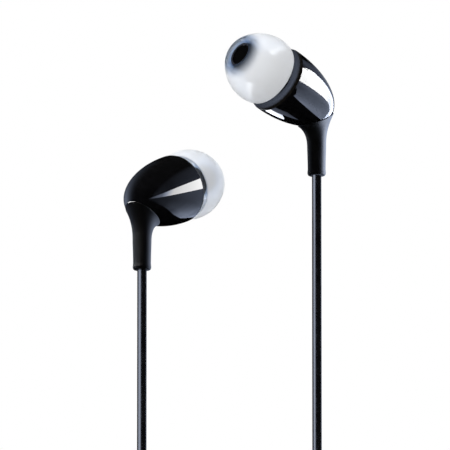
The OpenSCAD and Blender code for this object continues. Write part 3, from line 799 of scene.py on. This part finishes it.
def flare_point(t, a):
    """A point of the flare, from 0 at the stem to 1 at its edge, which follows the housing."""
    grown = t ** FLARE_GROWTH
    p = boot_point(FLARE_SHIFT * t * t, STEM_LEN + (FLARE_Z - STEM_LEN) * t, FLARE_LEAN * t,
                   STEM_TOP_R + (FLARE_R - STEM_TOP_R) * grown,
                   STEM_TOP_R + (FLARE_SIDE - STEM_TOP_R) * grown, a)
    return p + t ** 3 * (off_housing(flare_edge(a), FLARE_PROUD) - flare_edge(a))


def lip_point(b, a):
    """A point of the rounded lip at the flare's edge, from 0 at its outside to 1 at its top."""
    turn = b * math.pi / 2
    rise = FLARE_LIP * math.sin(turn)
    inset = FLARE_LIP * (1 - math.cos(turn))
    lean_up = Vector((math.sin(FLARE_LEAN), 0, math.cos(FLARE_LEAN)))
    p = boot_point(FLARE_SHIFT, FLARE_Z, FLARE_LEAN, FLARE_R - inset, FLARE_SIDE - inset, a)
    return p + rise * lean_up + off_housing(flare_edge(a), FLARE_PROUD) - flare_edge(a)


def seat_point(t, a):
    """A point of the boot's seat under the housing, from 0 inside its lip to 1 at its neck."""
    neck = stem_point(FLARE_Z - FLARE_RISE, BOOT_NECK_R, a)
    return off_housing(lip_point(1, a).lerp(neck, t), FIT)


def stem_outline():
    """(height, radius) up the boot's stem: a beaded foot, and a swell towards the flare."""
    points = [(0, FOOT_HOLE_R)]
    for i in range(6):
        a = math.radians(90 * i / 5)
        r = FOOT_R + (FOOT_BEAD_R - FOOT_R) * math.sin(a)
        points.append((FOOT_BEAD_H * (1 - math.cos(a)), r))
    for t in (1 / 3, 2 / 3, 1):
        r = FOOT_BEAD_R + (STEM_R - FOOT_BEAD_R) * ease(t)
        points.append((FOOT_BEAD_H + (FOOT_H - FOOT_BEAD_H) * t, r))
    for t in (1 / 3, 2 / 3):
        r = STEM_R + (STEM_TOP_R - STEM_R) * t ** STEM_SWELL
        points.append((FOOT_H + (STEM_LEN - FOOT_H) * t, r))
    return points


def make_boot(side, sides=96, flare_rings=36, lip_rings=6, seat_rings=5):
    mesh = bmesh.new()
    neck_top = underside() + BOOT_NECK_IN
    lines = [lambda a, z=z, r=r: stem_point(z, r, a) for z, r in stem_outline()]
    lines += [lambda a, t=i / flare_rings: flare_point(t, a) for i in range(flare_rings + 1)]
    lines += [lambda a, b=i / lip_rings: lip_point(b, a) for i in range(1, lip_rings + 1)]
    lines += [lambda a, t=i / seat_rings: seat_point(t, a) for i in range(1, seat_rings + 1)]
    lines += [lambda a: stem_point(neck_top, BOOT_NECK_R, a)]
    rings = []
    for line in lines:
        ring = []
        for i in range(sides):
            ring.append(mesh.verts.new(places[side].from_foot(line(2 * math.pi * i / sides))))
        rings.append(ring)
    skin(mesh, rings)
    dress(mesh_object(f"{side}_boot", mesh, sharp=50), f"{side}_cord_boot", "earphones")


for side in SIDES:
    make_turned_parts(side)
    make_boot(side)


# ---- Studio: glowing cards that only the gloss of some pieces shows, in a dark room ----

WALL_X = {"left": 118, "right": 119}  # plane of each earphone's wall, to the right of both
GLOW_SCALE = 15          # glow over which a card's tint runs from bluish to white
CARD_TINTS = ((0.05, (0.62, 0.73, 1)), (0.5, (0.7, 0.79, 1)), (0.9, (1, 1, 1)))  # shares of that glow
BOOT_WALL_REACH = 90     # distance of the boots' wall from each boot
LIP_CARD_REACH = 180     # distances of the bent cards from the origin
STRIP_REACH = 200
LIP_CARD_GLOW = 45
OVERHEAD_GLOW = 0.02     # dim patch overhead that the gloss shows
OVERHEAD_INNER = 20      # angles from straight up between which it fades out, in degrees
OVERHEAD_OUTER = 70
FLOOR_Z = -0.5           # in metres, below the camera, which looks up at the earphones
FLOOR_HALF = 3           # half its width, in metres


def pieces(*names):
    return [bpy.data.objects[name] for name in names]


def hide_from(obj, *rays):
    for kind in rays:
        setattr(obj, f"visible_{kind}", False)


def direction(turn, rise=0):
    """A unit vector turned from +Y towards +X and raised, in degrees."""
    turn, rise = math.radians(turn), math.radians(rise)
    return Vector((math.cos(rise) * math.sin(turn), math.cos(rise) * math.cos(turn), math.sin(rise)))


def glow_material(name):
    """Glows by the mesh's own attribute, bluish where it glows little, and lets light through."""
    material = bpy.data.materials.new(name)
    nodes = Nodes(material)
    nodes.tree.nodes.clear()
    strength = nodes.add("Attribute", attribute_name="glow").outputs["Fac"]
    tint = nodes.ramp(nodes.math("DIVIDE", strength, GLOW_SCALE), *CARD_TINTS)
    light = nodes.add("Emission")
    nodes.join(tint, light.inputs["Color"])
    nodes.join(strength, light.inputs["Strength"])
    both = nodes.add("AddShader")
    nodes.join(light.outputs[0], both.inputs[0])
    nodes.join(nodes.add("BsdfTransparent").outputs[0], both.inputs[1])
    nodes.join(both.outputs[0], nodes.add("OutputMaterial").inputs["Surface"])
    material.cycles.emission_sampling = "NONE"
    return material


def card(name, rows, receivers):
    """A glowing card that only the gloss of some pieces shows.

    Each row is a line of (x, y, z, glow) in millimetres."""
    corners = [Vector(p[:3]) * MM for row in rows for p in row]
    across = len(rows[0])
    quads = []
    for i in range(len(rows) - 1):
        for j in range(across - 1):
            k = i * across + j
            quads.append((k, k + 1, k + across + 1, k + across))
    data = bpy.data.meshes.new(name)
    data.from_pydata(corners, [], quads)
    glows = data.attributes.new("glow", "FLOAT", "POINT")
    for k, glow in enumerate(p[3] for row in rows for p in row):
        glows.data[k].value = glow
    data.materials.append(glow_material(name))
    obj = add_object(name, data)
    hide_from(obj, "camera", "diffuse", "transmission", "shadow")
    shown_by = bpy.data.collections.new(f"{name}_shown_by")
    for piece in receivers:
        shown_by.objects.link(piece)
    obj.light_linking.receiver_collection = shown_by


def upright(y, *points):
    """A wall card's row whose points stand over each other, from their (z, glow)."""
    return [(y, z, glow) for z, glow in points]


def wall_cards(side, **cards):
    """Cards in the plane of an earphone's wall. Each row is a line of (y, z, glow)."""
    for name, rows in cards.items():
        placed = [[(WALL_X[side], *p) for p in row] for row in rows]
        card(f"{side}_{name}", placed, pieces(f"{side}_shell"))


def low_card(name, depth, lines):
    """A card low behind the right earphone.

    Each of its lines is (x, bottom, top, glow at the bottom, glow at the top)."""
    rows = []
    for x, bottom, top, bottom_glow, top_glow in lines:
        rows.append([(x, depth, bottom, bottom_glow), (x, depth, top, top_glow)])
    card(name, rows, pieces("right_shell"))


def strip(centre, reach, bottom, top, glows):
    """Rows of an upright card bent round a place, from the (turn, glow) of each upright line."""
    rows = []
    for turn, glow in glows:
        foot = centre + direction(turn) * reach
        rows.append([(foot.x, foot.y, foot.z + height, glow) for height in (bottom, top)])
    return rows


def dome(reach, turns, rises, glow):
    """Rows of a card bent round the origin both ways. A function gives each direction's glow."""
    rows = []
    for rise in rises:
        ways = [direction(turn, rise) for turn in turns]
        rows.append([(*(way * reach), glow(way)) for way in ways])
    return rows


def lamp(name, place, power, size):
    """A soft lamp that lights the object but shows in no reflection."""
    data = bpy.data.lights.new(name, "AREA")
    data.energy = power
    data.size = size
    obj = add_object(name, data)
    obj.location = Vector(place) * MM
    point_at(obj, -obj.location)
    hide_from(obj, "camera", "glossy", "transmission")


def left_wall():
    """A long window that narrows to a point towards the camera, between a slate panel and a dim wall."""
    window = [upright(y, (bottom, glow), (top, glow)) for y, bottom, top, glow in (
        (100, 14, 78, 14), (30, 7, 60, 14), (5, 3.5, 53, 15), (-35, -3, 44, 15), (-65, -8.5, 36, 13.3),
        (-100, -14, 25.5, 6.8), (-120, -17.5, 20.5, 3.5), (-190, -28, 4, 2.1), (-300, -40, -20, 0.5),
        (-400, -46, -43, 0.2),
    )]
    panel = [
        upright(500, (-84, 1.6), (-70, 1.5), (-30, 1), (30, 0.9)),
        upright(290, (-126, 1.8), (-100, 1.3), (-45, 0.9), (24, 0.9)),
        upright(225, (-148, 1.9), (-105, 1.3), (-45, 0.9), (20, 0.9)),
        upright(140, (-146, 2), (-105, 2.2), (-60, 0.95), (16, 0.9)),
        upright(87, (-142, 1.8), (-116, 2.4), (-60, 0.95), (12.5, 0.9)),
        upright(47, (-133, 1.3), (-100, 1.7), (-50, 0.85), (9, 1)),
        upright(15, (-124, 0.6), (-90, 1.1), (-45, 0.8), (5, 1.1)),
        upright(-10, (-116, 0.8), (-92, 1), (-45, 0.75), (1.5, 1.1)),
        upright(-60, (-103, 0.3), (-70, 0.45), (-35, 0.4), (-7.5, 0.6)),
        upright(-130, (-98, 0.05), (-75, 0.2), (-45, 0.25), (-19, 0.3)),
        upright(-200, (-95, 0), (-75, 0.08), (-50, 0.15), (-30, 0.2)),
        upright(-380, (-93, 0), (-80, 0.02), (-65, 0.05), (-46, 0.1)),
    ]
    above = [
        upright(120, (80, 0.4), (110, 0.35), (160, 0.2), (200, 0)),
        upright(-15, (48.5, 0.5), (80, 0.36), (135, 0.25), (195, 0)),
        upright(-50, (40, 0.4), (80, 0.3), (130, 0.22), (190, 0)),
        upright(-80, (31, 0.22), (80, 0.18), (130, 0.15), (185, 0)),
        upright(-150, (13, 0.25), (65, 0.22), (110, 0.12), (160, 0)),
        upright(-250, (-8, 0.15), (30, 0.12), (60, 0.05), (90, 0)),
    ]
    wall_cards("left", window=window, panel=panel, above=above)


def right_wall():
    """A window that turns down round a slate panel, under a dim wall, and two low cards behind."""
    window = [
        ((-75, 4.4, 20), (-75, 14, 20)), ((-35, 5, 20), (-48, 42, 20)), ((7, 6, 19), (-16, 64, 18)),
        ((25, 5, 14), (17, 78, 15)), ((39, 3.5, 11), (45, 80, 12)), ((55, -3, 9), (65, 76, 10)),
        ((73, -10.6, 9), (100, 68, 9)), ((86, -30, 9), (145, 42, 9)), ((95, -48, 8), (185, 10, 8)),
        ((120, -68, 7), (200, -30, 6)), ((156, -97, 4), (195, -70, 3)),
    ]
    panel = [
        ((-55, -107, 2.9), (-55, -80, 2.6), (-58, -50, 1.7), (-60, -25, 0.9), (-75, 4.4, 0.6)),
        ((-27, -112, 4.6), (-25, -80, 3.2), (-25, -50, 2.2), (-25, -20, 1.9), (-22, 5, 2.4)),
        ((20, -112, 3.1), (15, -80, 3.3), (15, -50, 2.3), (12, -20, 1.8), (12, 6, 2.4)),
        ((40, -111, 2.9), (38, -80, 3.1), (30, -50, 2.3), (28, -20, 1.7), (30, 4.5, 2)),
        ((59, -110, 2.6), (59, -80, 2.5), (50, -50, 2), (45, -25, 1.7), (50, -1, 1.9)),
        ((90, -107, 2.3), (88, -85, 2.2), (80, -60, 1.8), (72, -38, 1.8), (73, -10.6, 1.9)),
        ((138, -103, 1.6), (120, -90, 1.8), (105, -75, 1.8), (95, -60, 1.8), (93, -44, 1.9)),
        ((156, -97, 1.2), (150, -93, 1.3), (140, -88, 1.5), (130, -80, 1.6), (122, -69, 1.8)),
    ]
    above = [
        ((5, 66, 0.3), (10, 90, 0.2), (20, 120, 0)),
        ((35, 82, 0.5), (45, 105, 0.5), (60, 135, 0.1)),
        ((80, 74, 0.5), (90, 95, 0.45), (110, 130, 0.15)),
        ((110, 64, 0.5), (115, 85, 0.5), (140, 135, 0.15)),
        ((150, 44, 0.7), (165, 74, 0.8), (250, 150, 0.2)),
        ((200, 12, 0.8), (260, 60, 0.8), (420, 220, 0.2)),
    ]
    wall_cards("right", window=window, panel=panel, above=above)
    low_card("right_low_white", depth=80, lines=(
        (-120, -40, 20, 14, 14), (-70, -64, -5, 14, 14), (-40, -82, -20, 14, 14),
        (-20, -94, -30, 13, 13), (2, -98, -40, 9, 9),
    ))
    low_card("right_low_grey", depth=81, lines=(
        (-23, -190, -104, 1, 1.2), (6, -190, -106, 1, 1), (32, -190, -96, 0.5, 0.8),
    ))


def boot_walls():
    """Soft light from behind and the right, brighter on the right boot, and a card for the left lip."""
    turns = (0, 20, 40, 60, 80, 95, 110, 130)
    for side, glows in (("left", (0.4, 0.8, 1.5, 2.3, 2, 1.1, 0.4, 0)),
                        ("right", (0.5, 1.5, 3.5, 7, 8, 5, 1.3, 0))):
        foot = places[side].foot / MM
        rows = strip(foot, BOOT_WALL_REACH, bottom=-60, top=80, glows=zip(turns, glows))
        card(f"{side}_boot_wall", rows, pieces(f"{side}_boot"))
    rows = dome(LIP_CARD_REACH, turns=range(-125, 8, 22), rises=(28, 49, 70),
                glow=lambda way: LIP_CARD_GLOW)
    card("lip_card", rows, pieces("left_boot"))


def soft_glows():
    """Soft glows: at the left for the rims of shells and boots, and some for the covers and plug."""
    for name, reach, middle, spread, strength, turns, lit in (
        ("left_glow", 500, (-0.9, 0.41, 0.05), 5.5, 1.4, (-160, 0), ("left_shell", "right_shell")),
        ("boot_glow", 520, (-0.9, 0.41, 0.05), 5.5, 0.4, (-160, 0), ("left_boot", "right_boot")),
        ("left_cover_glow", 540, (0.7, -0.7, 0.2), 0.5, 1, (-30, 240), ("left_cover",)),
        ("right_cover_glow", 560, (-0.77, 0.27, 0.57), 3, 0.8, (-180, 60), ("right_cover",)),
        ("plug_glow", 580, (-0.5, -0.8, 0.3), 1, 1, (-230, 50), ("plug_sleeve", "plug_ring", "plug_tip")),
    ):
        middle = Vector(middle).normalized()
        rows = dome(reach, turns=range(*turns, 10), rises=range(-60, 81, 10),
                    glow=lambda way: strength * max(way.dot(middle), 0) ** spread)
        card(name, rows, pieces(*lit))


def cord_strips():
    """A tall strip in front at the left, and a dim one behind at the right."""
    for name, glows in (("cord_strip", ((-88, 2), (-100, 7), (-125, 9), (-145, 7), (-155, 1))),
                        ("cord_wall", ((15, 0.8), (60, 0.6), (90, 0.1)))):
        card(name, strip(Vector(), STRIP_REACH, bottom=-150, top=120, glows=glows), cords)


def make_floor():
    data = bpy.data.meshes.new("floor")
    signs = ((-1, -1), (1, -1), (1, 1), (-1, 1))
    data.from_pydata([(x * FLOOR_HALF, y * FLOOR_HALF, FLOOR_Z) for x, y in signs], [], [(0, 1, 2, 3)])
    pale = Surface("pale_floor")
    pale.paint(Base_Color=pale.blend(pale.noise(4, 2, 0.5), (0.80, 0.80, 0.80), (0.83, 0.83, 0.83)))
    pale.set(Roughness=0.9)
    data.materials.append(pale.material)
    floor = add_object("floor", data)
    hide_from(floor, "glossy")


def make_studio():
    left_wall()
    right_wall()
    boot_walls()
    soft_glows()
    cord_strips()
    # The right earphone would stand as a dark stain in the gloss of the left housing
    hidden = [obj for node, obj in frame["nodes"].items() if node.startswith("right_")]
    hidden += pieces("right_shell", "right_cover", "right_silicone_tip", "right_boot",
                     "cord_right_earphone")
    for obj in hidden:
        hide_from(obj, "glossy")
    lamp("key", (350, -300, 450), power=0.7, size=0.4)
    lamp("fill", (-500, -450, 200), power=3.2, size=0.5)
    make_floor()


def make_world():
    """White to the camera, through the ear tips and as level light, but a dark room in the gloss."""
    world = bpy.data.worlds.new("studio")
    nodes = Nodes(world)
    nodes.tree.nodes.clear()
    rays = nodes.add("LightPath").outputs
    height = nodes.add("VectorMath", operation="DOT_PRODUCT")
    nodes.join(nodes.add("TexCoord").outputs["Generated"], height.inputs[0])
    height.inputs[1].default_value = UP
    overhead = nodes.add("MapRange", interpolation_type="SMOOTHSTEP")
    overhead.inputs["From Min"].default_value = math.cos(math.radians(OVERHEAD_OUTER))
    overhead.inputs["From Max"].default_value = math.cos(math.radians(OVERHEAD_INNER))
    nodes.join(height.outputs["Value"], overhead.inputs["Value"])
    patch = nodes.math("MULTIPLY", overhead.outputs[0], OVERHEAD_GLOW)
    gloss = nodes.math("MULTIPLY", patch, rays["Is Glossy Ray"])
    seen = nodes.math("MAXIMUM", rays["Is Camera Ray"], rays["Is Transmission Ray"])
    strength = nodes.math("ADD", nodes.math("ADD", seen, gloss), rays["Is Diffuse Ray"])
    background = nodes.add("Background")
    background.inputs["Color"].default_value = (1, 1, 1, 1)
    nodes.join(strength, background.inputs["Strength"])
    nodes.join(background.outputs[0], nodes.add("OutputWorld").inputs["Surface"])
    bpy.context.scene.world = world


make_studio()
make_world()
bpy.context.scene.view_settings.view_transform = "Standard"

bpy.context.view_layer.update()
